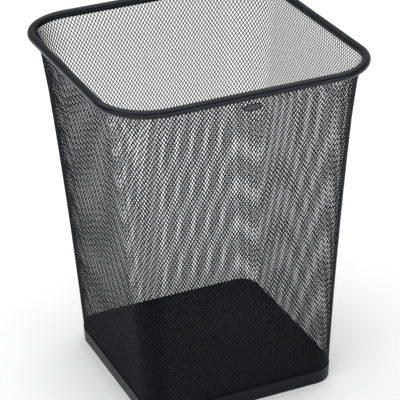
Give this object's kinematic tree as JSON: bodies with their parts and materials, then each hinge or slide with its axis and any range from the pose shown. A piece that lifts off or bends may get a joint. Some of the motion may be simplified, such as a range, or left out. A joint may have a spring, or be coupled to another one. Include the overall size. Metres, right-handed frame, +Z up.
{
  "type": "wastebasket",
  "caption": "Tapered square wastebasket of fine black expanded steel mesh with a rolled rim, a solid pressed base, a foot ring and a bare oval badge.",
  "frame": {"origin": "centre of the footprint, on the surface that the basket stands on", "axes": "+Z up, the front with the badge faces -Y, +X to the right of someone who faces the badge"},
  "size_m": [0.286, 0.286, 0.366],
  "materials": {
    "rim_paint": "semi-gloss black powder coat",
    "mesh_paint": "semi-gloss black powder coat on expanded steel",
    "base_paint": "smooth semi-gloss black powder coat",
    "badge_metal": "black lacquered plate, slightly glossier than the mesh",
    "backing_metal": "plain zinc-plated steel, out of sight from the front"
  },
  "bodies": {
    "root": {"rim": "rim_paint", "mesh_wall": "mesh_paint", "base_pan": "base_paint", "foot_ring": "base_paint", "badge_plate": "badge_metal", "badge_backing": "backing_metal"}
  },
  "joints": []
}
